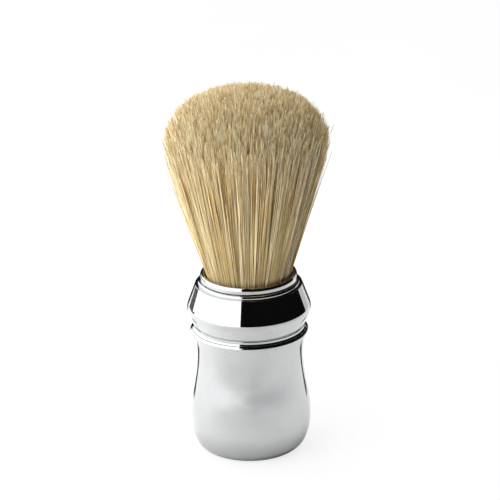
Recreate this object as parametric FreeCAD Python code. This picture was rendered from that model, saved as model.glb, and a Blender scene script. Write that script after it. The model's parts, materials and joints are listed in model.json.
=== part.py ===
import FreeCAD, Part

import math
import os

from FreeCAD import Vector

# Shaving brush standing on its foot: a plated grip, a collar that screws into it, and a
# bristle knot set in a plated ferrule cup.  Millimetres, +Z up, origin at the centre of
# the foot, and every piece turned about the Z axis.

# ---- overall ----
CROWN_Z = 120.0  # top of the bristles
LIP_Z = 58.8  # top of the ferrule's lip, where the bristles come out

# ---- grip outline ----
FOOT_RADIUS = 13.9
BULGE_RADIUS = 19.1
BULGE_Z = 10.8
WAIST_RADIUS = 17.12
WAIST_Z = 30.4
RIM_RADIUS = 18.7
RIM_Z = 39.74  # height of the rim's widest line
RIM_TOP = 40.5
RIM_ROUND = 0.55  # outer edge, which a 45 degree chamfer joins to the top
RIM_LEAN = math.radians(24)  # how far the flare below the rim leans outwards
RIM_BORE = 17.35

# ---- collar outline ----
SHOULDER_Z = 39.0  # underside of the collar, which seats on the washer
SHOULDER_BORE = 14.8  # the jacket is turned in under the shoulder as far as this
SHOULDER_RADIUS = 16.15
SHOULDER_ROUND = 0.2
CORNER_RADIUS = 19.93  # where the two cones would meet if they were not rounded
CORNER_Z = 47.05
BELT_ROUND = 4.5
HEM_RADIUS = 17.6  # hem round the foot of the collar's cone: upright, then flared
HEM_TOP = 41.83
HEM_ROUND = 0.1
HEM_FLARE_Z = 41.14  # top of the flare, which carries on the rim's chamfer
HEM_FLARE_RADIUS = 18.12
HEM_BOTTOM = 40.6
HEM_EDGE = 0.04  # rounding of its lower edge
HEM_INNER = 16.6  # inside the wall of the jacket, which the hem is part of
CONE_TOP_RADIUS = 16.9
CONE_TOP_Z = 55.36
CONE_TOP_ROUND = 0.15
STEP_RADIUS = 16.12
STEP_ROUND = 0.75
COLLAR_TOP = 56.6

# ---- walls and fits ----
WALL = 0.8  # plated metal jackets
CUP_WALL = 0.5
GLUE_GAP = 0.06

# ---- screw thread between the grip and the collar ----
PITCH = 3.0
SPIGOT_RADIUS = 12.8
SPIGOT_CREST = 13.55
SOCKET_RADIUS = 13.9
SOCKET_CREST = 13.15
RIDGE_ROOT_WIDTH = 1.6
RIDGE_CREST_WIDTH = 0.8
RIDGE_SINK = 0.3  # how far a ridge runs into the wall that carries it
FLANK_GAP = 0.12
SOCKET_FLOOR = 28.0
SPIGOT_BOTTOM = 28.4
SOCKET_RIDGE_Z = 30.6
SOCKET_TURNS = 2.0
SPIGOT_TURNS = 2.25

# ---- seat of the washer ----
WASHER_SEAT = 37.8
WASHER_INNER = 13.3
WASHER_OUTER = 16.1
WASHER_ROUND = 0.25
BUSH_RADIUS = 15.95
BUSH_FLANGE_RADIUS = 16.7
BUSH_FLANGE = 1.0
BUSH_FLOOR = 1.6

# ---- base ----
FOOT_OPENING = 12.6
BASE_CAP_RECESS = 0.4
BASE_CAP_RADIUS = 13.8
BASE_CAP_TOP = 3.0

# ---- ferrule cup and what it holds ----
CUP_RADIUS = 14.3
CUP_BOTTOM = 42.0
CUP_ROUND = 1.2  # outer edge of the cup's bottom
SOCKET_CLEARANCE = 0.1
BEAD_FOOT_RADIUS = 14.75  # the bead is undercut down to this, on top of the collar
BEAD_RADIUS = 15.35
BEAD_LOW_Z = 56.95  # lower edge of its upright side
BEAD_LOW_ROUND = 0.2
LIP_RADIUS = 15.05  # outer edge of the lip's level top
LIP_TOP = 58.93
LIP_ROUND = 0.22  # outer edge
LIP_BORE = 14.2
LIP_BORE_ROUND = 0.12
SWELL_Z = 58.35  # where the bead's upright side turns in towards the lip
SWELL_ROUND = 2.0
MOUTH_Z = 57.2  # foot of the lip's inner slope
PLUG_TOP = 46.6
PLUG_ROUND = 0.9
BUNDLE_RADIUS = 13.0
BUNDLE_TOP = 55.0
THREAD_RADIUS = 0.34  # binding thread
THREAD_PITCH = 0.816
THREAD_BOTTOM = 48.2
THREAD_WRAPS = 6
ADHESIVE_TOP = 58.2

# ---- bristle fan ----
KNOT_RADIUS = 14.0  # at the lip
FAN_RADIUS = 25.9
FAN_WIDEST_Z = 104.5
BEND_RADIUS = 20.0  # ball on which the fan leans over the roots
BEND_GAP = 0.06


def point(radius, z):
    return Vector(radius, 0, z)


def rounded_path(corners):
    """Edges through (radius, z, rounding) corners, with tangent arcs at the rounded ones."""
    ends = []
    for index, (radius, z, rounding) in enumerate(corners):
        here = point(radius, z)
        if rounding == 0 or index in (0, len(corners) - 1):
            ends.append((here, here, here))
            continue
        back = (point(*corners[index - 1][:2]) - here).normalize()
        ahead = (point(*corners[index + 1][:2]) - here).normalize()
        half = back.getAngle(ahead) / 2
        inward = (back + ahead).normalize()
        reach = rounding / math.tan(half)
        middle = here + inward * (rounding / math.sin(half) - rounding)
        ends.append((here + back * reach, middle, here + ahead * reach))
    edges = []
    for index, (start, middle, finish) in enumerate(ends):
        if start != finish:
            edges.append(Part.Arc(start, middle, finish).toShape())
        if index + 1 < len(ends):
            edges.append(Part.makeLine(finish, ends[index + 1][0]))
    return edges


def inset(corners, distance):
    """The same path moved left of its direction of travel, into the wall."""
    moved = []
    for index, (radius, z, rounding) in enumerate(corners):
        here = point(radius, z)
        before = corners[max(index - 1, 0)]
        after = corners[min(index + 1, len(corners) - 1)]
        sides = []
        for start, finish in ((point(*before[:2]), here), (here, point(*after[:2]))):
            if start != finish:
                run = (finish - start).normalize()
                sides.append(Vector(-run.z, 0, run.x))
        bisector = sum(sides, Vector()).normalize()
        shifted = here + bisector * (distance / bisector.dot(sides[0]))
        left_turn = len(sides) == 2 and sides[0].cross(sides[1]).y < 0
        change = -distance if left_turn else distance
        moved.append((shifted.x, shifted.z, max(rounding + change, 0) if rounding else 0))
    return moved


def turned(edges):
    """The solid made by turning a chain of edges about the Z axis, closed by a last line."""
    start = edges[0].firstVertex(True).Point
    finish = edges[-1].lastVertex(True).Point
    if start.distanceToPoint(finish) > 1e-6:
        edges = edges + [Part.makeLine(finish, start)]
    face = Part.Face(Part.Wire(edges))
    return face.revolve(Vector(0, 0, 0), Vector(0, 0, 1), 360)


def turned_corners(corners):
    return turned(rounded_path(corners))


def cylinder(radius, bottom, top):
    return Part.makeCylinder(radius, top - bottom, Vector(0, 0, bottom))


def helical_ridge(root, crest, start_z, turns):
    """A right-handed thread ridge from the root radius to the crest radius."""
    sink = RIDGE_SINK if crest > root else -RIDGE_SINK
    base = root - sink
    half_root = RIDGE_ROOT_WIDTH / 2
    half_crest = RIDGE_CREST_WIDTH / 2
    half_base = half_root + RIDGE_SINK * (half_root - half_crest) / abs(crest - root)
    section = Part.makePolygon(
        [
            point(base, -half_base),
            point(crest, -half_crest),
            point(crest, half_crest),
            point(base, half_base),
            point(base, -half_base),
        ]
    )
    spine = Part.Wire(Part.makeHelix(PITCH, PITCH * turns, root).Edges)
    ridge = spine.makePipeShell([section], True, True)
    ridge.translate(Vector(0, 0, start_z))
    return ridge


def rim_point(angle):
    """A point on the rim's rounded edge, by its angle above level."""
    centre = point(RIM_RADIUS - RIM_ROUND, RIM_Z)
    return centre + point(math.cos(angle), math.sin(angle)) * RIM_ROUND


def grip_outline():
    """The grip's outer curve, from the foot to the start of the rim's rounding."""
    curve = Part.BSplineCurve()
    curve.interpolate(
        [
            point(FOOT_RADIUS, 0),
            point(16.7, 2.1),
            point(18.4, 5.9),
            point(BULGE_RADIUS, BULGE_Z),
            point(18.85, 16.2),
            point(17.95, 22.6),
            point(WAIST_RADIUS, WAIST_Z),
            point(17.4, 35.2),
            rim_point(-RIM_LEAN),
        ]
    )
    return curve


def offset_curve(curve, distance, bottom, top, steps=60):
    """The part of a curve moved towards the axis by a distance, between two heights."""
    first, last = curve.FirstParameter, curve.LastParameter
    samples = []
    for step in range(steps + 1):
        place = first + (last - first) * step / steps
        run = curve.tangent(place)[0]
        here = curve.value(place) + Vector(-run.z, 0, run.x) * distance
        if bottom < here.z < top:
            samples.append(here)
    moved = Part.BSplineCurve()
    moved.interpolate(samples)
    return moved


def grip_jacket():
    """Plated shell: turned-in foot, bulge, waist and a chamfered rim."""
    outer = grip_outline()
    inner = offset_curve(outer, WALL, WALL, RIM_TOP - 2 * RIM_ROUND)
    inner_low, inner_high = inner.StartPoint, inner.EndPoint
    chamfer = rim_point(math.pi / 4)
    rim_arc = Part.Arc(rim_point(-RIM_LEAN), rim_point(0), chamfer)
    corners = [
        chamfer,
        point(chamfer.x - (RIM_TOP - chamfer.z), RIM_TOP),
        point(RIM_BORE, RIM_TOP),
        point(RIM_BORE, inner_high.z),
        inner_high,
    ]
    foot = [
        inner_low,
        point(inner_low.x, WALL),
        point(FOOT_OPENING, WALL),
        point(FOOT_OPENING, 0),
        point(FOOT_RADIUS, 0),
    ]
    edges = [outer.toShape(), rim_arc.toShape()]
    edges += Part.makePolygon(corners).Edges
    inner.reverse()
    edges.append(inner.toShape())
    edges += [edge for edge in Part.makePolygon(foot).Edges if edge.Length > 1e-6]
    return turned(edges)


def grip_filler():
    """Cast filler that backs the jacket between the base cap and the threaded bush."""
    side = offset_curve(
        grip_outline(), WALL + GLUE_GAP, BASE_CAP_TOP, SOCKET_FLOOR - BUSH_FLOOR
    )
    low, high = side.StartPoint, side.EndPoint
    top = SOCKET_FLOOR - BUSH_FLOOR
    edges = Part.makePolygon(
        [point(0, BASE_CAP_TOP), point(low.x - GLUE_GAP, BASE_CAP_TOP), low]
    ).Edges
    edges.append(side.toShape())
    edges += Part.makePolygon([high, point(high.x - GLUE_GAP, top), point(0, top)]).Edges
    return turned(edges)


def base_cap():
    """Disc that closes the foot, held by the turned-in edge of the jacket."""
    boss = cylinder(FOOT_OPENING - GLUE_GAP, BASE_CAP_RECESS, WALL)
    return boss.fuse(cylinder(BASE_CAP_RADIUS, WALL, BASE_CAP_TOP)).removeSplitter()


def threaded_bush():
    """Moulded insert in the neck of the grip, with the female thread."""
    flange_bottom = WASHER_SEAT - BUSH_FLANGE
    sleeve = cylinder(BUSH_RADIUS, SOCKET_FLOOR - BUSH_FLOOR, flange_bottom)
    flange = cylinder(BUSH_FLANGE_RADIUS, flange_bottom, WASHER_SEAT)
    socket = cylinder(SOCKET_RADIUS, SOCKET_FLOOR, WASHER_SEAT)
    ridge = helical_ridge(SOCKET_RADIUS, SOCKET_CREST, SOCKET_RIDGE_Z, SOCKET_TURNS)
    return sleeve.fuse(flange).cut(socket).fuse(ridge).removeSplitter()


def joint_washer():
    """Rubber washer between the bush and the collar's shoulder."""
    return turned_corners(
        [
            (WASHER_INNER, WASHER_SEAT, 0),
            (WASHER_OUTER, WASHER_SEAT, WASHER_ROUND),
            (WASHER_OUTER, SHOULDER_Z, WASHER_ROUND),
            (WASHER_INNER, SHOULDER_Z, 0),
        ]
    )


def collar_corners():
    """Outer path of the collar jacket, from its shoulder up to its top face."""
    return [
        (SHOULDER_BORE, SHOULDER_Z, 0),
        (SHOULDER_RADIUS, SHOULDER_Z, SHOULDER_ROUND),
        (CORNER_RADIUS, CORNER_Z, BELT_ROUND),
        (CONE_TOP_RADIUS, CONE_TOP_Z, CONE_TOP_ROUND),
        (STEP_RADIUS, CONE_TOP_Z, 0),
        (STEP_RADIUS, COLLAR_TOP, STEP_ROUND),
        (CUP_RADIUS + SOCKET_CLEARANCE, COLLAR_TOP, 0),
    ]


def collar_hem():
    """Small hem at the foot of the collar's visible cone."""
    return turned_corners(
        [
            (HEM_INNER, HEM_BOTTOM, 0),
            (HEM_FLARE_RADIUS, HEM_BOTTOM, HEM_EDGE),
            (HEM_RADIUS, HEM_FLARE_Z, 0),
            (HEM_RADIUS, HEM_TOP, HEM_ROUND),
            (HEM_INNER, HEM_TOP, 0),
        ]
    )


def collar_jacket():
    """Plated double cone with its hem and the stepped ring on top."""
    outer = collar_corners()
    inner = inset(outer, WALL)
    shell = turned_corners(outer + inner[::-1])
    return shell.fuse(collar_hem()).removeSplitter()


def collar_core():
    """Moulded core of the collar: the knot's socket above, the threaded spigot below."""
    skin = inset(collar_corners(), WALL + GLUE_GAP)
    body = turned_corners([(0, skin[0][1], 0)] + skin + [(0, skin[-1][1], 0)])
    neck = cylinder(SHOULDER_BORE - GLUE_GAP, SHOULDER_Z, skin[0][1])
    spigot = cylinder(SPIGOT_RADIUS, SPIGOT_BOTTOM, SHOULDER_Z)
    flank_reach = (RIDGE_ROOT_WIDTH - RIDGE_CREST_WIDTH) / 2
    ridge_depth = SPIGOT_CREST - SPIGOT_RADIUS
    engaged = SPIGOT_CREST - SOCKET_CREST
    offset = RIDGE_CREST_WIDTH + flank_reach * engaged / ridge_depth + FLANK_GAP
    ridge = helical_ridge(
        SPIGOT_RADIUS, SPIGOT_CREST, SOCKET_RIDGE_Z - offset, SPIGOT_TURNS
    )
    socket = cylinder(CUP_RADIUS + SOCKET_CLEARANCE, CUP_BOTTOM, COLLAR_TOP)
    return body.fuse(neck).cut(socket).fuse(spigot).fuse(ridge).removeSplitter()


def ferrule_cup():
    """Drawn cup that holds the knot, with a beaded rim and a thin upstanding lip."""
    bore = CUP_RADIUS - CUP_WALL
    return turned_corners(
        [
            (0, CUP_BOTTOM, 0),
            (CUP_RADIUS, CUP_BOTTOM, CUP_ROUND),
            (CUP_RADIUS, COLLAR_TOP, 0),
            (BEAD_FOOT_RADIUS, COLLAR_TOP, 0),
            (BEAD_RADIUS, BEAD_LOW_Z, BEAD_LOW_ROUND),
            (BEAD_RADIUS, SWELL_Z, SWELL_ROUND),
            (LIP_RADIUS, LIP_TOP, LIP_ROUND),
            (LIP_BORE, LIP_TOP, LIP_BORE_ROUND),
            (bore, MOUTH_Z, 0),
            (bore, CUP_BOTTOM + CUP_WALL, CUP_ROUND - CUP_WALL),
            (0, CUP_BOTTOM + CUP_WALL, 0),
        ]
    )


def resin_plug():
    """Cast resin in the bottom of the cup, which the bristle butts are set in."""
    radius = CUP_RADIUS - CUP_WALL - GLUE_GAP
    bottom = CUP_BOTTOM + CUP_WALL
    return turned_corners(
        [
            (0, bottom, 0),
            (radius, bottom, PLUG_ROUND),
            (radius, PLUG_TOP, 0),
            (0, PLUG_TOP, 0),
        ]
    )


def binding_thread():
    """Thread wound around the bristle bundle inside the cup."""
    winding = BUNDLE_RADIUS + GLUE_GAP + THREAD_RADIUS
    height = THREAD_PITCH * THREAD_WRAPS
    spine = Part.Wire(Part.makeHelix(THREAD_PITCH, height, winding).Edges)
    section = Part.Wire(Part.makeCircle(THREAD_RADIUS, point(winding, 0), Vector(0, 1, 0)))
    thread = spine.makePipeShell([section], True, True)
    thread.translate(Vector(0, 0, THREAD_BOTTOM))
    return thread


def ferrule_adhesive():
    """Bead of adhesive that fills the mouth of the cup around the bristles."""
    bore = CUP_RADIUS - CUP_WALL
    bundle_slope = (KNOT_RADIUS - BUNDLE_RADIUS) / (LIP_Z - BUNDLE_TOP)
    top_inner = BUNDLE_RADIUS + bundle_slope * (ADHESIVE_TOP - BUNDLE_TOP) + GLUE_GAP
    mouth_slope = (LIP_BORE - bore) / (LIP_TOP - MOUTH_Z)
    top_outer = bore + mouth_slope * (ADHESIVE_TOP - MOUTH_Z) - GLUE_GAP
    return turned_corners(
        [
            (BUNDLE_RADIUS + GLUE_GAP, BUNDLE_TOP, 0),
            (bore - GLUE_GAP, BUNDLE_TOP, 0),
            (bore - GLUE_GAP, MOUTH_Z, 0),
            (top_outer, ADHESIVE_TOP, 0),
            (top_inner, ADHESIVE_TOP, 0),
        ]
    )


def knot():
    """The whole bundle of bristles: straight in the cup, then a fan with a domed crown."""
    fan = Part.BSplineCurve()
    fan.interpolate(
        [
            point(KNOT_RADIUS, LIP_Z),
            point(18.1, 75.5),
            point(21.7, 88.6),
            point(24.4, 98.6),
            point(FAN_RADIUS, FAN_WIDEST_Z),
        ]
    )
    crown = Part.Ellipse(
        point(FAN_RADIUS, FAN_WIDEST_Z), point(0, CROWN_Z), point(0, FAN_WIDEST_Z)
    )
    crown_arc = Part.ArcOfEllipse(crown, 0, math.pi / 2).toBSpline()
    base = Part.makePolygon(
        [
            point(0, PLUG_TOP),
            point(BUNDLE_RADIUS, PLUG_TOP),
            point(BUNDLE_RADIUS, BUNDLE_TOP),
            point(KNOT_RADIUS, LIP_Z),
        ]
    )
    return turned(base.Edges + [fan.toShape(), crown_arc.toShape()])


def bristle_roots():
    """The lower bristles, held by the cup, up to the ball that the fan leans on."""
    return knot().common(Part.makeSphere(BEND_RADIUS, Vector(0, 0, LIP_Z)))


def bristle_tuft():
    """The free fan of bristles above the ball."""
    return knot().cut(Part.makeSphere(BEND_RADIUS + BEND_GAP, Vector(0, 0, LIP_Z)))


NODES = [
    grip_jacket,
    grip_filler,
    base_cap,
    threaded_bush,
    joint_washer,
    collar_jacket,
    collar_core,
    ferrule_cup,
    resin_plug,
    binding_thread,
    ferrule_adhesive,
    bristle_roots,
    bristle_tuft,
]

os.makedirs("parts", exist_ok=True)
for make in NODES:
    shape = make()
    box = shape.BoundBox
    print(
        f"{make.__name__:18s} solids {len(shape.Solids)} valid {shape.isValid()}"
        f" volume {shape.Volume:9.1f} radius {box.XMax:6.2f}"
        f" z {box.ZMin:7.2f} to {box.ZMax:7.2f}"
    )
    shape.exportStep(f"parts/{make.__name__}.step")
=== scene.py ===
"""A shaving brush in a small studio: plated handle and ferrule, and a fan of boar bristles.

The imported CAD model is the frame. Its hard parts keep their shapes and get node materials.
Its two solid bristle bodies are replaced by thousands of single bristles, built here.
Every length is in metres, with the brush standing on z = 0 along +Z.
"""

import json
import math

import bpy
import numpy as np
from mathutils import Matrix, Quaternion, Vector


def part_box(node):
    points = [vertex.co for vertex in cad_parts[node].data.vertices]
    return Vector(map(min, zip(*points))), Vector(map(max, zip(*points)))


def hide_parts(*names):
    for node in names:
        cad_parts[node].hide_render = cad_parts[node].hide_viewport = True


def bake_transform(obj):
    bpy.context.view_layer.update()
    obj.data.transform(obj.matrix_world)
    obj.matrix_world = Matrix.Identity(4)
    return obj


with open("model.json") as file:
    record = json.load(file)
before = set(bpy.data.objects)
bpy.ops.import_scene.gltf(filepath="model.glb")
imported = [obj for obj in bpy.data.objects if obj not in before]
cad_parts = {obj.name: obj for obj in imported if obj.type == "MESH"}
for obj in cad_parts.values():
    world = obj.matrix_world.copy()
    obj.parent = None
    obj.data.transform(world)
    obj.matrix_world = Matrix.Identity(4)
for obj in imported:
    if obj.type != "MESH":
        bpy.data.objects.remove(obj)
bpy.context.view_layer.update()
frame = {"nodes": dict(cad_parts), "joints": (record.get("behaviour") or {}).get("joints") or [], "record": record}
MM = 0.001

# ---------------------------------------------------------------- the frame's dimensions

JOINTS = {joint["name"]: joint for joint in frame["joints"]}
LIP_HEIGHT = JOINTS["tuft_bend"]["pos_m"][2]
FAN_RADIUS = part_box("bristle_tuft")[1].x
CROWN_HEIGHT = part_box("bristle_tuft")[1].z
DOME_DEPTH = 15.5 * MM

# ---------------------------------------------------------------- the camera

CAMERA_ELEVATION = math.radians(20.7)
CAMERA_DISTANCE = 1.4
CAMERA_ROLL = math.radians(-0.83)
CAMERA_FOCAL = 320.5
CAMERA_SENSOR = 36.0
CAMERA_TARGET = Vector((0.57 * MM, 0.0, 66.2 * MM))


def make_camera():
    """The camera in front of the brush, looking down along +Y."""
    data = bpy.data.cameras.new("camera")
    data.lens = CAMERA_FOCAL
    data.sensor_width = CAMERA_SENSOR
    camera = bpy.data.objects.new("camera", data)
    back = Vector((0.0, -math.cos(CAMERA_ELEVATION), math.sin(CAMERA_ELEVATION)))
    camera.location = CAMERA_TARGET + back * CAMERA_DISTANCE
    level = (-back).to_track_quat("-Z", "Y")
    camera.rotation_mode = "QUATERNION"
    camera.rotation_quaternion = level @ Quaternion((0.0, 0.0, 1.0), CAMERA_ROLL)
    bpy.context.scene.collection.objects.link(camera)
    bpy.context.scene.camera = camera


# ---------------------------------------------------------------- node helpers


def new_material(name):
    """A node material, as (material, node tree, its Principled shader)."""
    material = bpy.data.materials.new(name)
    material.use_nodes = True
    tree = material.node_tree
    return material, tree, tree.nodes["Principled BSDF"]


def node(tree, kind, settings=None, **inputs):
    """A new node. settings are its properties; inputs are values or sockets, by input name."""
    made = tree.nodes.new(kind)
    for name, value in (settings or {}).items():
        setattr(made, name, value)
    for name, value in inputs.items():
        connect(tree, value, made.inputs[name.replace("_", " ")])
    return made


def connect(tree, value, socket):
    """Feeds a socket from another socket, or sets it to a plain value."""
    if isinstance(value, bpy.types.NodeSocket):
        tree.links.new(value, socket)
    else:
        socket.default_value = value


def ramp(tree, factor, stops):
    """A colour ramp's output. stops are (place, colour) pairs."""
    made = node(tree, "ShaderNodeValToRGB", Fac=factor)
    elements = made.color_ramp.elements
    while len(elements) < len(stops):
        elements.new(0.5)
    for element, (place, colour) in zip(elements, stops):
        element.position = place
        element.color = (*colour, 1.0)
    return made.outputs["Color"]


def multiplied(tree, first, second):
    """Two colours multiplied together."""
    made = node(tree, "ShaderNodeMixRGB", {"blend_type": "MULTIPLY"}, Fac=1.0)
    tree.links.new(first, made.inputs["Color1"])
    tree.links.new(second, made.inputs["Color2"])
    return made.outputs["Color"]


def remap(tree, value, low, high, new_low, new_high, smooth=False):
    """value, moved from the range low to high into new_low to new_high, and held there."""
    made = node(tree, "ShaderNodeMapRange", Value=value)
    made.interpolation_type = "SMOOTHSTEP" if smooth else "LINEAR"
    made.inputs["From Min"].default_value = low
    made.inputs["From Max"].default_value = high
    made.inputs["To Min"].default_value = new_low
    made.inputs["To Max"].default_value = new_high
    return made.outputs["Result"]


def noise(tree, vector, scale, detail=2.0, roughness=0.5):
    """A noise pattern's value, with scale features to each unit of vector."""
    made = node(tree, "ShaderNodeTexNoise", Vector=vector, Scale=scale, Detail=detail)
    made.inputs["Roughness"].default_value = roughness
    return made.outputs["Fac"]


def object_place(tree):
    """The place on the piece, in metres. It moves with the piece."""
    return node(tree, "ShaderNodeTexCoord").outputs["Object"]


def stretched(tree, vector, scale):
    """vector with each axis multiplied by its own scale."""
    made = node(tree, "ShaderNodeMapping", Vector=vector)
    made.inputs["Scale"].default_value = scale
    return made.outputs["Vector"]


def bump(tree, height, distance, strength=1.0):
    """A normal from a height pattern that is distance metres deep."""
    made = node(tree, "ShaderNodeBump", Height=height, Strength=strength)
    made.inputs["Distance"].default_value = distance
    return made.outputs["Normal"]


def set_shader(tree, shader, **inputs):
    """Feeds the Principled shader's inputs, by name, from sockets or values."""
    for name, value in inputs.items():
        connect(tree, value, shader.inputs[name.replace("_", " ")])


# ---------------------------------------------------------------- materials


def chrome_plate():
    """Polished plate: a clean mirror with faint haze and the marks of wiping."""
    material, tree, shader = new_material("chrome_plate")
    place = object_place(tree)
    haze = noise(tree, place, 90.0, detail=4.0)
    wiped = noise(tree, stretched(tree, place, (1.0, 1.0, 6.0)), 420.0, detail=3.0)
    colour = ramp(tree, haze, [(0.3, (0.535, 0.545, 0.55)), (0.7, (0.565, 0.572, 0.578))])
    marks = remap(tree, wiped, 0.4, 0.75, 0.028, 0.06)
    set_shader(
        tree,
        shader,
        Base_Color=colour,
        Metallic=1.0,
        Roughness=marks,
        Normal=bump(tree, haze, 0.004 * MM),
    )
    return material


def cast_filler():
    """Grey-buff cast mineral filler with small pits and specks."""
    material, tree, shader = new_material("cast_filler")
    place = object_place(tree)
    grain = noise(tree, place, 900.0, detail=5.0)
    specks = noise(tree, place, 2600.0, detail=1.0)
    body = ramp(tree, grain, [(0.3, (0.56, 0.52, 0.45)), (0.7, (0.72, 0.68, 0.6))])
    dark = ramp(tree, specks, [(0.62, (1.0, 1.0, 1.0)), (0.7, (0.6, 0.56, 0.5))])
    set_shader(
        tree,
        shader,
        Base_Color=multiplied(tree, body, dark),
        Roughness=0.85,
        Normal=bump(tree, grain, 0.08 * MM),
    )
    return material


def moulded_plastic():
    """Black moulded plastic with a fine spark-eroded grain."""
    material, tree, shader = new_material("moulded_plastic")
    place = object_place(tree)
    grain = noise(tree, place, 2200.0, detail=3.0)
    flow = noise(tree, stretched(tree, place, (1.0, 1.0, 4.0)), 120.0)
    colour = ramp(tree, flow, [(0.3, (0.03, 0.03, 0.034)), (0.7, (0.05, 0.05, 0.055))])
    set_shader(
        tree,
        shader,
        Base_Color=colour,
        Roughness=remap(tree, grain, 0.3, 0.7, 0.38, 0.55),
        Normal=bump(tree, grain, 0.02 * MM),
    )
    return material


def washer_rubber():
    """Black rubber with a dusty bloom."""
    material, tree, shader = new_material("washer_rubber")
    place = object_place(tree)
    bloom = noise(tree, place, 600.0, detail=4.0)
    colour = ramp(tree, bloom, [(0.35, (0.018, 0.018, 0.018)), (0.75, (0.05, 0.05, 0.048))])
    set_shader(
        tree,
        shader,
        Base_Color=colour,
        Roughness=remap(tree, bloom, 0.3, 0.7, 0.62, 0.8),
        Normal=bump(tree, bloom, 0.03 * MM),
    )
    return material


def amber_resin():
    """Set amber adhesive, uneven in depth, that has wetted the foot of the bristles."""
    material, tree, shader = new_material("amber_resin")
    place = object_place(tree)
    depth = noise(tree, place, 500.0, detail=3.0)
    colour = ramp(tree, depth, [(0.3, (0.36, 0.21, 0.07)), (0.7, (0.62, 0.43, 0.19))])
    set_shader(
        tree,
        shader,
        Base_Color=colour,
        Roughness=remap(tree, depth, 0.3, 0.7, 0.12, 0.3),
        Coat_Weight=0.4,
        Normal=bump(tree, depth, 0.1 * MM),
    )
    return material


def twine():
    """Waxed linen thread: strands twisted round its length."""
    material, tree, shader = new_material("twine")
    place = object_place(tree)
    strands = noise(tree, stretched(tree, place, (1.0, 1.0, 0.3)), 5200.0, detail=2.0)
    colour = ramp(tree, strands, [(0.3, (0.6, 0.54, 0.42)), (0.7, (0.85, 0.8, 0.68))])
    set_shader(
        tree,
        shader,
        Base_Color=colour,
        Roughness=0.7,
        Normal=bump(tree, strands, 0.06 * MM),
    )
    return material


BAKE_MAP = "OFBake"


def boar_bristle():
    """Boar bristle, coloured from its UV: x is the bristle's own tone, y the place along it."""
    material, tree, shader = new_material("boar_bristle")
    uv = node(tree, "ShaderNodeUVMap", {"uv_map": BAKE_MAP}).outputs["UV"]
    split = node(tree, "ShaderNodeSeparateXYZ", Vector=uv)
    tone, along = split.outputs["X"], split.outputs["Y"]
    shaft = ramp(
        tree,
        tone,
        [
            (0.0, (0.34, 0.21, 0.08)),
            (0.25, (0.67, 0.47, 0.19)),
            (0.55, (0.91, 0.735, 0.385)),
            (0.85, (0.98, 0.90, 0.61)),
            (1.0, (1.0, 0.97, 0.80)),
        ],
    )
    tip = ramp(
        tree,
        tone,
        [
            (0.0, (0.50, 0.34, 0.14)),
            (0.5, (0.94, 0.80, 0.48)),
            (1.0, (1.0, 0.97, 0.80)),
        ],
    )
    paler = node(tree, "ShaderNodeMixRGB", Color1=shaft, Color2=tip)
    connect(tree, remap(tree, along, 0.72, 1.0, 0.0, 0.8, smooth=True), paler.inputs["Fac"])
    bands = noise(tree, stretched(tree, uv, (300.0, 5.0, 1.0)), 1.0, detail=2.0)
    patches = ramp(tree, bands, [(0.3, (0.86, 0.83, 0.78)), (0.65, (1.0, 1.0, 1.0))])
    # Painted shade: each bristle's colour darkens towards its root, where the ferrule and the surrounding bristles
    # shade it. The patches above are the bristles' own tone, varying at random.
    painted_root_shade = ramp(tree, along, [(0.0, (0.72, 0.68, 0.62)), (0.3, (1.0, 1.0, 1.0))])
    streaks_and_root_shade = multiplied(tree, patches, painted_root_shade)
    set_shader(
        tree,
        shader,
        Base_Color=multiplied(tree, paler.outputs["Color"], streaks_and_root_shade),
        Roughness=remap(tree, bands, 0.3, 0.7, 0.48, 0.62),
        Specular_IOR_Level=0.15,
    )
    return material


def bristle_shade():
    """The packed bristles deep in the fan, seen only through the gaps between the outer ones. They are coloured a
    darker brown than the outer bristles, as painted shade.
    """
    material, tree, shader = new_material("bristle_shade")
    place = object_place(tree)
    strands = noise(tree, stretched(tree, place, (1.0, 1.0, 0.03)), 1500.0, detail=3.0)
    colour = ramp(tree, strands, [(0.3, (0.34, 0.20, 0.08)), (0.7, (0.60, 0.42, 0.19))])
    set_shader(
        tree,
        shader,
        Base_Color=colour,
        Roughness=0.7,
        Normal=bump(tree, strands, 0.2 * MM),
    )
    return material


MATERIALS = {
    make.__name__: make()
    for make in (
        chrome_plate,
        cast_filler,
        moulded_plastic,
        washer_rubber,
        amber_resin,
        twine,
        boar_bristle,
    )
}


def dress_frame():
    """Gives each CAD node the node material that is named like its record slot."""
    for part in frame["record"]["subparts"]:
        for slot in frame["nodes"][part["node"]].material_slots:
            slot.link = "OBJECT"
            slot.material = MATERIALS[part["material_slot"]]


# ---------------------------------------------------------------- bristles

SEED = 11
CLUMPS = 2100
CLUMP_BRISTLES = 8
BUNDLES = 8
BRISTLE_RINGS = 7
SIDES = 3

BUTT_RADIUS = 0.12 * MM
NECK_RADIUS = 0.082 * MM
TIP_RADIUS = 0.022 * MM

# Shares of the fan's radius, or of its height over the lip.
ROOT_SHARE = 13.55 * MM / FAN_RADIUS
ROOT_DEPTH = -0.02
DEEPEST_START = 0.72
DISC_EDGE = 0.995
CLUMP_LEAN = 0.012
BRISTLE_LEAN = 0.016
BRISTLE_BOW = 0.009

# The share of the bristles that leans out past the rest, and how far.
LOOSE_SHARE = 0.04
LOOSE_LEAN = 0.035
STRAY_SHARE = 0.004
STRAY_LEAN = (0.03, 0.08)

CLUMP_LIFT = 0.3 * MM
BRISTLE_LIFT = 0.45 * MM
CROWN_TRIM = 1.2 * MM
EDGE_TRIM = 2.6 * MM
EDGE_START, EDGE_END = 0.76, 0.97

MEAN_TONE = 0.54
CLUMP_TONE = 0.13
BRISTLE_TONE = 0.27
TIP_TONE = 0.16
TOP_TONE = 0.995

TIP_LENGTHS = (2.5, 6.0)
TIP_PARTING = 0.17 * MM


def fan_share(height):
    """The fan's radius as a share of its widest, from height 0 at the lip to 1 at the edge."""
    return ROOT_SHARE + (1.0 - ROOT_SHARE) * height


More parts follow.
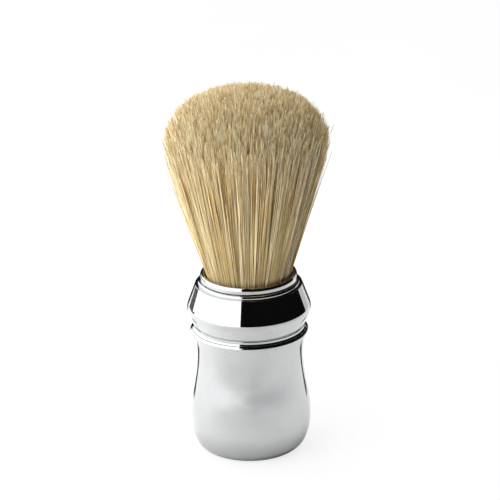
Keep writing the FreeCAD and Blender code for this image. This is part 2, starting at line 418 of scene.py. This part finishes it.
def tip_height(spot):
    """The dome's height over a spot of the unit disc."""
    inside = np.clip(1.0 - np.sum(spot**2, axis=-1), 0.0, None)
    return CROWN_HEIGHT - DOME_DEPTH + DOME_DEPTH * np.sqrt(inside)


def spiral_spots(count):
    """count points spread evenly over the unit disc, on a sunflower spiral."""
    turn = math.pi * (3.0 - math.sqrt(5.0))
    order = np.arange(count) + 0.5
    radius = np.sqrt(order / count)
    return np.stack([radius * np.cos(order * turn), radius * np.sin(order * turn)], axis=1)


def smooth(value, low, high):
    """0 below low, 1 above high, with a smooth step between."""
    share = np.clip((value - low) / (high - low), 0.0, 1.0)
    return share * share * (3.0 - 2.0 * share)


def scatter_clumps(rng):
    """Each clump's spot on the unit disc, tone, lift and lean."""
    spread = 1.0 / math.sqrt(CLUMPS)
    spots = spiral_spots(CLUMPS) * (1.0 - 0.4 * spread)
    spots += rng.normal(0.0, 0.35 * spread, spots.shape)
    tone = rng.normal(0.0, 1.0, CLUMPS)
    lift = rng.normal(0.0, CLUMP_LIFT, CLUMPS)
    lean = rng.normal(0.0, CLUMP_LEAN, (CLUMPS, 2))
    return spots, tone, lift, lean


def scatter_bristles(rng, centre):
    """Each bristle's spot on the unit disc, near its clump's centre."""
    spread = 1.0 / math.sqrt(CLUMPS)
    spot = centre + rng.normal(0.0, 0.75 * spread, centre.shape)
    far = np.linalg.norm(spot, axis=1, keepdims=True)
    pulled_in = spot * DISC_EDGE / far * rng.uniform(0.97, 1.0, far.shape)
    return np.where(far > DISC_EDGE, pulled_in, spot)


def bristle_leans(rng, spot, clump_lean):
    """How far each bristle leans and bows. A few loose and stray ones lean outwards."""
    lean = clump_lean + rng.normal(0.0, BRISTLE_LEAN, spot.shape)
    bow = rng.normal(0.0, BRISTLE_BOW, spot.shape)
    loose = rng.random(len(spot)) < LOOSE_SHARE
    lean[loose] += spot[loose] * rng.uniform(0.0, LOOSE_LEAN, (loose.sum(), 1))
    stray = rng.random(len(spot)) < STRAY_SHARE
    lean[stray] += spot[stray] * rng.uniform(*STRAY_LEAN, (stray.sum(), 1))
    return lean, bow


def bristle_lines(rng):
    """The bristles' centre lines, as (points, along, tone, clump spot)."""
    clumps, clump_tone, clump_lift, clump_lean = scatter_clumps(rng)
    owner = np.repeat(np.arange(CLUMPS), CLUMP_BRISTLES)
    count = len(owner)
    centre = clumps[owner]
    spot = scatter_bristles(rng, centre)
    offset = spot - centre
    reach = np.linalg.norm(spot, axis=1)

    start = ROOT_DEPTH + np.clip((0.9 - reach) * 1.6, 0.0, DEEPEST_START)
    steps = np.linspace(0.0, 1.0, BRISTLE_RINGS)[None, :]
    height = start[:, None] + (1.0 - start[:, None]) * steps
    gather = rng.uniform(0.45, 0.95, count)[:, None] * smooth(height, 0.4, 1.0)
    lean, bow = bristle_leans(rng, spot, clump_lean[owner])

    plan = spot[:, None, :] - offset[:, None, :] * gather[:, :, None]
    plan = plan + lean[:, None, :] * (np.clip(height, 0.0, 1.0) ** 2)[:, :, None]
    plan = plan + bow[:, None, :] * np.sin(math.pi * steps)[:, :, None]
    flat = plan * (FAN_RADIUS * fan_share(height))[:, :, None]

    top = tip_height(spot - offset * 0.5) + clump_lift[owner]
    top += rng.normal(0.0, BRISTLE_LIFT, count)
    shortened = rng.exponential(EDGE_TRIM, count) * smooth(reach, EDGE_START, EDGE_END)
    top -= CROWN_TRIM + shortened
    rise = LIP_HEIGHT + height * (top[:, None] - LIP_HEIGHT)
    points = np.concatenate([flat, rise[:, :, None]], axis=2)
    tone = MEAN_TONE + CLUMP_TONE * clump_tone[owner] + BRISTLE_TONE * rng.normal(0.0, 1.0, count)
    return points, height, np.clip(tone, 0.0, TOP_TONE), centre


def bristle_tips(rng, points, tone):
    """A finer hair that parts from each bristle near its tip, as (points, along, tone)."""
    count = len(points)
    last, before = points[:, -1], points[:, -2]
    way = last - before
    way = way / np.linalg.norm(way, axis=1, keepdims=True)
    length = rng.uniform(*TIP_LENGTHS, count)[:, None] * MM
    root = last - way * length
    part = rng.normal(0.0, TIP_PARTING, last.shape)
    tip = last + part + way * rng.uniform(-0.8, 0.3, (count, 1)) * MM
    middle = (root + tip) / 2.0 + part * 0.1
    along = np.tile([0.88, 0.94, 1.0], (count, 1))
    tip_tone = np.clip(tone + rng.normal(0.05, TIP_TONE, count), 0.0, TOP_TONE)
    return np.stack([root, middle, tip], axis=1), along, tip_tone


def hair_mesh(name, points, along, tone, radii):
    """One mesh of three-sided tapered hairs that follow the lines."""
    count, rings, _ = points.shape
    tangent = np.gradient(points, axis=1)
    tangent /= np.linalg.norm(tangent, axis=2, keepdims=True)
    across = np.cross(tangent, np.array([0.0, 1.0, 0.0]))
    across /= np.linalg.norm(across, axis=2, keepdims=True)
    up = np.cross(tangent, across)
    turn = (np.arange(count) * 2.4)[:, None] + np.arange(SIDES) * math.tau / SIDES
    around = (
        across[:, :, None, :] * np.cos(turn)[:, None, :, None]
        + up[:, :, None, :] * np.sin(turn)[:, None, :, None]
    )
    corners = points[:, :, None, :] + around * radii[None, :, None, None]

    ring = np.arange(rings - 1)[:, None] * SIDES
    side = np.arange(SIDES)[None, :]
    other = (side + 1) % SIDES
    quad = np.stack([ring + side, ring + other, ring + SIDES + other, ring + SIDES + side], axis=2)
    quads = quad.reshape(1, -1, 4) + (np.arange(count) * rings * SIDES)[:, None, None]
    faces = quads.reshape(-1, 4)

    mesh = bpy.data.meshes.new(name)
    mesh.vertices.add(corners.size // 3)
    mesh.vertices.foreach_set("co", corners.astype(np.float32).ravel())
    mesh.loops.add(faces.size)
    mesh.loops.foreach_set("vertex_index", faces.astype(np.int32).ravel())
    mesh.polygons.add(len(faces))
    mesh.polygons.foreach_set("loop_start", np.arange(0, faces.size, 4, dtype=np.int32))
    mesh.polygons.foreach_set("use_smooth", np.ones(len(faces), dtype=bool))
    mesh.update(calc_edges=True)

    sliver = 0.004 / SIDES
    shape = (count, rings - 1, SIDES, 4)
    u = np.broadcast_to(tone[:, None, None, None], shape).copy()
    u += sliver * (side[0][None, None, :, None] + np.array([0, 1, 1, 0])[None, None, None, :])
    low = np.broadcast_to(along[:, :-1, None, None], shape)
    high = np.broadcast_to(along[:, 1:, None, None], shape)
    v = np.where(np.array([0, 0, 1, 1])[None, None, None, :] == 0, low, high)
    places = np.stack([u, np.clip(v, 0.0, 1.0)], axis=-1)
    uv = mesh.uv_layers.new(name=BAKE_MAP)
    uv.data.foreach_set("uv", places.astype(np.float32).ravel())
    return mesh


def join_hairs(name, groups):
    """One object from several groups of hairs."""
    made = []
    for number, (points, along, tone, radii) in enumerate(groups):
        mesh = hair_mesh(f"{name}_{number}", points, along, tone, radii)
        made.append(bpy.data.objects.new(f"{name}_{number}", mesh))
        bpy.context.scene.collection.objects.link(made[-1])
    bpy.ops.object.select_all(action="DESELECT")
    for item in made:
        item.select_set(True)
    bpy.context.view_layer.objects.active = made[0]
    bpy.ops.object.join()
    made[0].name = name
    made[0].data.name = name
    made[0].data.materials.append(MATERIALS["boar_bristle"])
    return made[0]


def bend_with_tuft(piece):
    """Fixes the piece's placement into its mesh and hides the two CAD bristle solids that it stands for."""
    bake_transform(piece)
    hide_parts("bristle_roots", "bristle_tuft")


def sector_of(spots):
    """Which sector of the fan each spot is in."""
    bearing = np.arctan2(spots[:, 1], spots[:, 0]) % math.tau
    return np.minimum((bearing / math.tau * BUNDLES).astype(int), BUNDLES - 1)


def make_bristles():
    """All the bristles, in sectors of the fan."""
    rng = np.random.default_rng(SEED)
    points, along, tone, centre = bristle_lines(rng)
    tip_points, tip_along, tip_tone = bristle_tips(rng, points, tone)
    shaft_radii = np.interp(
        np.linspace(0.0, 1.0, BRISTLE_RINGS),
        [0.0, 0.75, 1.0],
        [BUTT_RADIUS, NECK_RADIUS * 1.2, NECK_RADIUS * 0.6],
    )
    tip_radii = np.array([NECK_RADIUS * 0.7, NECK_RADIUS * 0.6, TIP_RADIUS])
    sector = sector_of(centre)
    for number in range(BUNDLES):
        mine = sector == number
        bundle = join_hairs(
            f"bristles_{number + 1}",
            [
                (points[mine], along[mine], tone[mine], shaft_radii),
                (tip_points[mine], tip_along[mine], tip_tone[mine], tip_radii),
            ],
        )
        bend_with_tuft(bundle)


CORE_SHARE = 0.9
CORE_DROP = 4.5 * MM
CORE_TURNS = 96
CORE_RINGS = 28
CORE_DOME_RINGS = 11


def core_outline():
    """(radius, z) pairs up the core's side and over its dome, and the height of its top."""
    edge = CROWN_HEIGHT - DOME_DEPTH - CORE_DROP
    rows = []
    for step in range(CORE_RINGS):
        height = step / (CORE_RINGS - 1)
        radius = FAN_RADIUS * float(fan_share(np.array(height * 0.97))) * CORE_SHARE
        rows.append((radius, LIP_HEIGHT - 0.8 * MM + height * (edge - LIP_HEIGHT)))
    edge_radius, edge_height = rows[-1]
    for step in range(1, CORE_DOME_RINGS + 1):
        angle = step / (CORE_DOME_RINGS + 1) * math.pi / 2
        z = edge_height + DOME_DEPTH * math.sin(angle)
        rows.append((edge_radius * math.cos(angle), z))
    return rows, edge_height + DOME_DEPTH


def make_core():
    """The dense middle of the fan, a little way inside the outer bristles."""
    rows, crown = core_outline()
    vertices = []
    for radius, z in rows:
        for turn in range(CORE_TURNS):
            angle = turn * math.tau / CORE_TURNS
            vertices.append((radius * math.cos(angle), radius * math.sin(angle), z))
    vertices.append((0.0, 0.0, crown))
    faces = []
    for row in range(len(rows) - 1):
        for turn in range(CORE_TURNS):
            after = (turn + 1) % CORE_TURNS
            here, there = row * CORE_TURNS, (row + 1) * CORE_TURNS
            faces.append((here + turn, here + after, there + after, there + turn))
    top = (len(rows) - 1) * CORE_TURNS
    for turn in range(CORE_TURNS):
        faces.append((top + turn, top + (turn + 1) % CORE_TURNS, len(vertices) - 1))
    mesh = bpy.data.meshes.new("bristle_core")
    mesh.from_pydata(vertices, [], faces)
    mesh.polygons.foreach_set("use_smooth", [True] * len(mesh.polygons))
    mesh.materials.append(bristle_shade())
    core = bpy.data.objects.new("bristle_core", mesh)
    bpy.context.scene.collection.objects.link(core)
    bend_with_tuft(core)


# ---------------------------------------------------------------- the studio

FLOOR_HALF = 4.0
FLOOR_GLOW = 0.8
TENT_RADIUS = 0.32
LAMP_RADIUS = 0.31
TENT_HEIGHT = 0.50
FILL_HEIGHT = 0.475
WALL_STEPS = 17
SPLIT = -16.0
SPLIT_OFFSET = -0.06
LIGHT_LEVEL = 2.1
KEY_LEVEL = 4.5
RIM_LEVEL = 2.4
FILL_LEVEL = 1.0
STRIP_WIDTH = 18.0 * MM
STRIP_LIFT = 0.3
FOOT_RADIUS = 14.0 * MM
SHADE_RADIUS = 34.0 * MM
FOOT_SHADE = 0.24
FOOT_SHADE_LIFT = 0.2 * MM
FRONT_SHADE = 0.2
FRONT_SHADE_LIFT = 0.4 * MM


def glow(name, strength):
    """A softbox's face."""
    material = bpy.data.materials.new(name)
    material.use_nodes = True
    tree = material.node_tree
    tree.nodes.clear()
    light = node(tree, "ShaderNodeEmission", Strength=strength)
    output = node(tree, "ShaderNodeOutputMaterial")
    tree.links.new(light.outputs["Emission"], output.inputs["Surface"])
    return material


def grey_card(name, level):
    """Matt card that lights nothing. A level near zero is black velvet."""
    material, tree, shader = new_material(name)
    set_shader(tree, shader, Base_Color=(level, level, level, 1.0), Roughness=1.0)
    shader.inputs["Specular IOR Level"].default_value = 0.0
    return material


def fading_black(name, make_share, most=1.0):
    """Black that lets the rest of the studio show through, by make_share(tree) times most."""
    material = bpy.data.materials.new(name)
    material.use_nodes = True
    tree = material.node_tree
    tree.nodes.clear()
    clear = node(tree, "ShaderNodeBsdfTransparent").outputs["BSDF"]
    black = node(tree, "ShaderNodeBsdfDiffuse", Color=(0.01, 0.01, 0.01, 1.0)).outputs["BSDF"]
    share = remap(tree, make_share(tree), 0.0, 1.0, 0.0, most)
    blend = node(tree, "ShaderNodeMixShader", Fac=share)
    tree.links.new(clear, blend.inputs[1])
    tree.links.new(black, blend.inputs[2])
    output = node(tree, "ShaderNodeOutputMaterial")
    tree.links.new(blend.outputs["Shader"], output.inputs["Surface"])
    return material


def product(tree, values):
    """Several numbers multiplied together."""
    total = values[0]
    for value in values[1:]:
        made = node(tree, "ShaderNodeMath", {"operation": "MULTIPLY"})
        tree.links.new(total, made.inputs[0])
        tree.links.new(value, made.inputs[1])
        total = made.outputs["Value"]
    return total


def card_place(tree):
    """The place on a card, as (across, along), each from 0 to 1."""
    coordinates = node(tree, "ShaderNodeTexCoord").outputs["UV"]
    place = node(tree, "ShaderNodeSeparateXYZ", Vector=coordinates)
    return place.outputs["X"], place.outputs["Y"]


def soft_edges(tree):
    """1 in the middle of a card and 0 at its edges."""
    across, along = card_place(tree)
    fades = [
        remap(tree, place, outside, inside, new_low, new_high, smooth=True)
        for place in (across, along)
        for outside, inside, new_low, new_high in ((0.0, 0.35, 0.0, 1.0), (0.65, 1.0, 1.0, 0.0))
    ]
    return product(tree, fades)


def soft_top(tree):
    """1 at the foot and in the middle of a card, and 0 at its top and side edges."""
    across, along = card_place(tree)
    return product(
        tree,
        [
            remap(tree, across, 0.0, 0.12, 0.0, 1.0, smooth=True),
            remap(tree, across, 0.88, 1.0, 1.0, 0.0, smooth=True),
            remap(tree, along, 0.7, 1.0, 1.0, 0.0, smooth=True),
        ],
    )


def near_foot(tree):
    """1 at the foot of the brush, fading to 0 a little way out."""
    distance = node(tree, "ShaderNodeVectorMath", {"operation": "LENGTH"})
    tree.links.new(object_place(tree), distance.inputs[0])
    away = distance.outputs["Value"]
    return remap(tree, away, FOOT_RADIUS, SHADE_RADIUS, 1.0, 0.0, smooth=True)


def stage_card(name, columns, material, mirrored_only=False):
    """A card of the studio, from (low, high) pairs of points side by side.

    The camera doesn't see it. One that is mirrored only lights and shades nothing either.
    """
    vertices = [point for column in columns for point in column]
    faces = [(2 * n, 2 * n + 2, 2 * n + 3, 2 * n + 1) for n in range(len(columns) - 1)]
    mesh = bpy.data.meshes.new(name)
    mesh.from_pydata(vertices, [], faces)
    mesh.materials.append(material)
    places = mesh.uv_layers.new(name="card").data
    for loop, place in zip(mesh.loops, places):
        column, high = divmod(loop.vertex_index, 2)
        place.uv = (column / (len(columns) - 1), high)
    card = bpy.data.objects.new(name, mesh)
    card.visible_camera = False
    card.visible_diffuse = not mirrored_only
    card.visible_shadow = not mirrored_only
    bpy.context.scene.collection.objects.link(card)
    return card


def wall(name, start, end, bottom, top, material, radius=TENT_RADIUS, mirrored_only=False):
    """A curved card between two bearings in degrees, from the camera's side, + to the right."""
    columns = []
    for bearing in np.linspace(math.radians(start), math.radians(end), WALL_STEPS):
        x, y = radius * math.sin(bearing), -radius * math.cos(bearing)
        columns.append(((x, y, bottom), (x, y, top)))
    return stage_card(name, columns, material, mirrored_only)


def level_card(name, left, right, near, far, height, material, turn=0.0, mirrored_only=False):
    """A level card, turned about the brush's axis by some degrees."""
    spin = Quaternion((0.0, 0.0, 1.0), math.radians(turn))
    columns = [
        (spin @ Vector((x, near, height)), spin @ Vector((x, far, height)))
        for x in (left, right)
    ]
    return stage_card(name, columns, material, mirrored_only)


def strip(name, near, far, material):
    """A narrow card laid on the floor behind the brush, between two places in millimetres."""
    near, far = Vector((*near, STRIP_LIFT)) * MM, Vector((*far, STRIP_LIFT)) * MM
    side = (far - near).cross(Vector((0.0, 0.0, 1.0))).normalized() * STRIP_WIDTH / 2.0
    stage_card(name, [(near - side, far - side), (near + side, far + side)], material, True)


def hide_from_plate(lamp):
    """Leaves a lamp's light on the floor and the bristles, and its shape out of the mirror."""
    lamp.visible_glossy = False
    lamp.visible_shadow = False


def make_floor():
    """A pale sweep under the brush. The camera sees it nearly burnt out to white."""
    half = FLOOR_HALF
    mesh = bpy.data.meshes.new("floor")
    mesh.from_pydata(
        [(-half, -half, 0.0), (half, -half, 0.0), (half, half, 0.0), (-half, half, 0.0)],
        [],
        [(0, 1, 2, 3)],
    )
    material, tree, shader = new_material("pale_floor")
    place = object_place(tree)
    paper = noise(tree, place, 40.0, detail=3.0)
    colour = ramp(tree, paper, [(0.3, (0.86, 0.86, 0.86)), (0.7, (0.89, 0.89, 0.89))])
    set_shader(tree, shader, Base_Color=colour, Roughness=0.9)
    shader.inputs["Specular IOR Level"].default_value = 0.1
    white = node(tree, "ShaderNodeEmission", Strength=1.0)
    seen = node(tree, "ShaderNodeLightPath").outputs["Is Camera Ray"]
    share = remap(tree, seen, 0.0, 1.0, 0.0, FLOOR_GLOW)
    blend = node(tree, "ShaderNodeMixShader", Fac=share)
    tree.links.new(shader.outputs["BSDF"], blend.inputs[1])
    tree.links.new(white.outputs["Emission"], blend.inputs[2])
    tree.links.new(blend.outputs["Shader"], tree.nodes["Material Output"].inputs["Surface"])
    mesh.materials.append(material)
    floor = bpy.data.objects.new("floor", mesh)
    bpy.context.scene.collection.objects.link(floor)


def make_tent():
    """A small tent round the brush, white on the left and black on the right."""
    white = glow("softbox", LIGHT_LEVEL)
    black = grey_card("velvet", 0.004)
    reach = TENT_RADIUS * 1.1
    wall("left_wall", -180, SPLIT, 0.0, TENT_HEIGHT, white)
    wall("flag", SPLIT, 123, 0.0, TENT_HEIGHT, black)
    wall("flag_end", 123, 164, 0.06, TENT_HEIGHT, black)
    level_card("left_roof", -reach, SPLIT_OFFSET, -reach, reach, TENT_HEIGHT, white, turn=SPLIT)
    level_card("right_roof", SPLIT_OFFSET, reach, -reach, reach, TENT_HEIGHT, black, turn=SPLIT)


def make_shades():
    """Dark cards round the brush that are seen only in the plate, and outline it there."""
    faded = fading_black("back_shade", soft_top)
    wall("back_shade", 142, 218, 0.0, 0.15, faded, radius=0.13, mirrored_only=True)
    dim = grey_card("dim_card", 0.12)
    wall("low_left", -148, -116, 0.0, 0.035, dim, radius=0.30, mirrored_only=True)
    soft = fading_black("strip_shade", soft_edges)
    strip("strip_left", (-46, 38), (-72, 67), soft)
    strip("strip_right", (46, 38), (70, 69), soft)
    ring = fading_black("foot_shade", near_foot, FOOT_SHADE)
    reach = SHADE_RADIUS
    lift = FOOT_SHADE_LIFT
    level_card("foot_shade", -reach, reach, -reach, reach, lift, ring, mirrored_only=True)
    veil = fading_black("front_shade", soft_edges, FRONT_SHADE)
    level_card("front_shade", -0.16, 0.10, -0.24, 0.0, FRONT_SHADE_LIFT, veil, mirrored_only=True)


def make_lamps():
    """Soft lamps for the floor and the bristles: a key on the left, a rim light and a fill."""
    key = glow("key", KEY_LEVEL)
    hide_from_plate(wall("key", -70, -5, 0.22, 0.46, key, radius=LAMP_RADIUS))
    rim = glow("rim", RIM_LEVEL)
    hide_from_plate(wall("rim_light", 112, 165, 0.08, 0.40, rim, radius=LAMP_RADIUS))
    fill = glow("fill", FILL_LEVEL)
    hide_from_plate(level_card("fill", 0.0, 0.33, -0.3, 0.3, FILL_HEIGHT, fill))


def make_world():
    """An even white world outside the tent, and plain colours."""
    world = bpy.data.worlds.new("studio")
    world.use_nodes = True
    background = world.node_tree.nodes["Background"]
    background.inputs["Color"].default_value = (1.0, 1.0, 1.0, 1.0)
    background.inputs["Strength"].default_value = 1.0
    bpy.context.scene.world = world
    bpy.context.scene.view_settings.view_transform = "Standard"


# ---------------------------------------------------------------- everything together


dress_frame()
make_core()
make_bristles()
make_floor()
make_tent()
make_shades()
make_lamps()
make_world()
make_camera()
